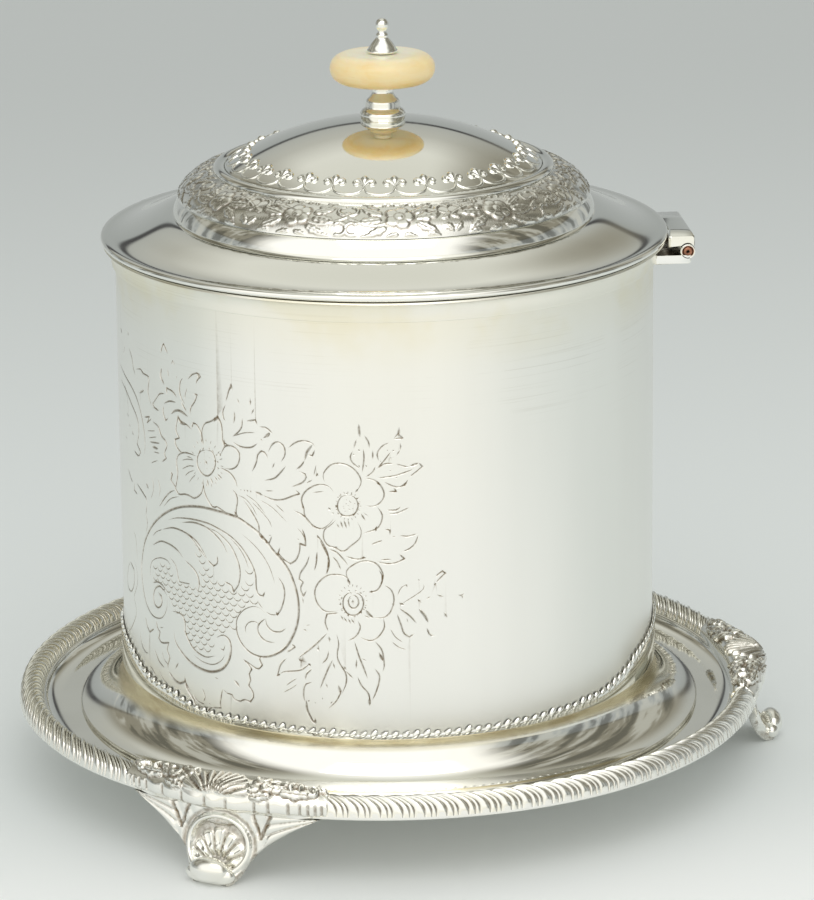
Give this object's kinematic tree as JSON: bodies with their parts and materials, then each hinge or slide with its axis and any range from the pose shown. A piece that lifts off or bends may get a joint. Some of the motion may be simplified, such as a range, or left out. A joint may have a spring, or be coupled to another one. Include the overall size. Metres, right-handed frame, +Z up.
{
  "type": "biscuit box",
  "caption": "Round silver-plated biscuit box on a footed tray, with a domed hinged lid, disc finial, gadroon border and shell feet.",
  "frame": {"origin": "on the surface that the box stands on, at the centre of its footprint", "axes": "+Z up, +Y towards the hinge, -Y towards the front, X across the box"},
  "size_m": [0.198, 0.2062, 0.1996],
  "materials": {
    "satin_silver_plate": "satin silver plate, engraved, lightly tarnished",
    "polished_silver_plate": "polished silver plate",
    "cast_silver_plate": "cast silver plate, darker in the recesses",
    "ivory_like_disc": "polished cream to amber, slightly translucent",
    "worn_hinge_pin": "worn copper brown",
    "steel_fixings": "plain turned steel"
  },
  "bodies": {
    "box": {"tray_dish": "polished_silver_plate", "base_skirt": "polished_silver_plate", "gadroon_border_1": "cast_silver_plate", "gadroon_border_2": "cast_silver_plate", "gadroon_border_3": "cast_silver_plate", "shell_ornament_1": "cast_silver_plate", "shell_ornament_2": "cast_silver_plate", "shell_ornament_3": "cast_silver_plate", "foot_1": "cast_silver_plate", "foot_2": "cast_silver_plate", "foot_3": "cast_silver_plate", "drum_wall": "satin_silver_plate", "drum_floor": "satin_silver_plate", "foot_strip": "cast_silver_plate", "mouth_collar": "satin_silver_plate", "hinge_lower_leaf": "polished_silver_plate", "hinge_pin": "worn_hinge_pin"},
    "lid": {"hinge_upper_leaf": "polished_silver_plate", "lid_flange": "polished_silver_plate", "lid_bezel": "polished_silver_plate", "lid_step_band": "polished_silver_plate", "lid_floral_band": "cast_silver_plate", "lid_bead_ring": "polished_silver_plate", "lid_dome": "polished_silver_plate", "finial_stem": "polished_silver_plate", "finial_disc": "ivory_like_disc", "finial_cap": "polished_silver_plate", "finial_washer": "steel_fixings", "finial_nut": "steel_fixings", "finial_stud": "steel_fixings"}
  },
  "joints": [
    {"name": "lid_hinge", "type": "hinge", "parent": "box", "child": "lid", "pos_m": [0, 0.0737, 0.1391], "axis": [-1, 0, 0], "range_deg": [0, 100]}
  ]
}
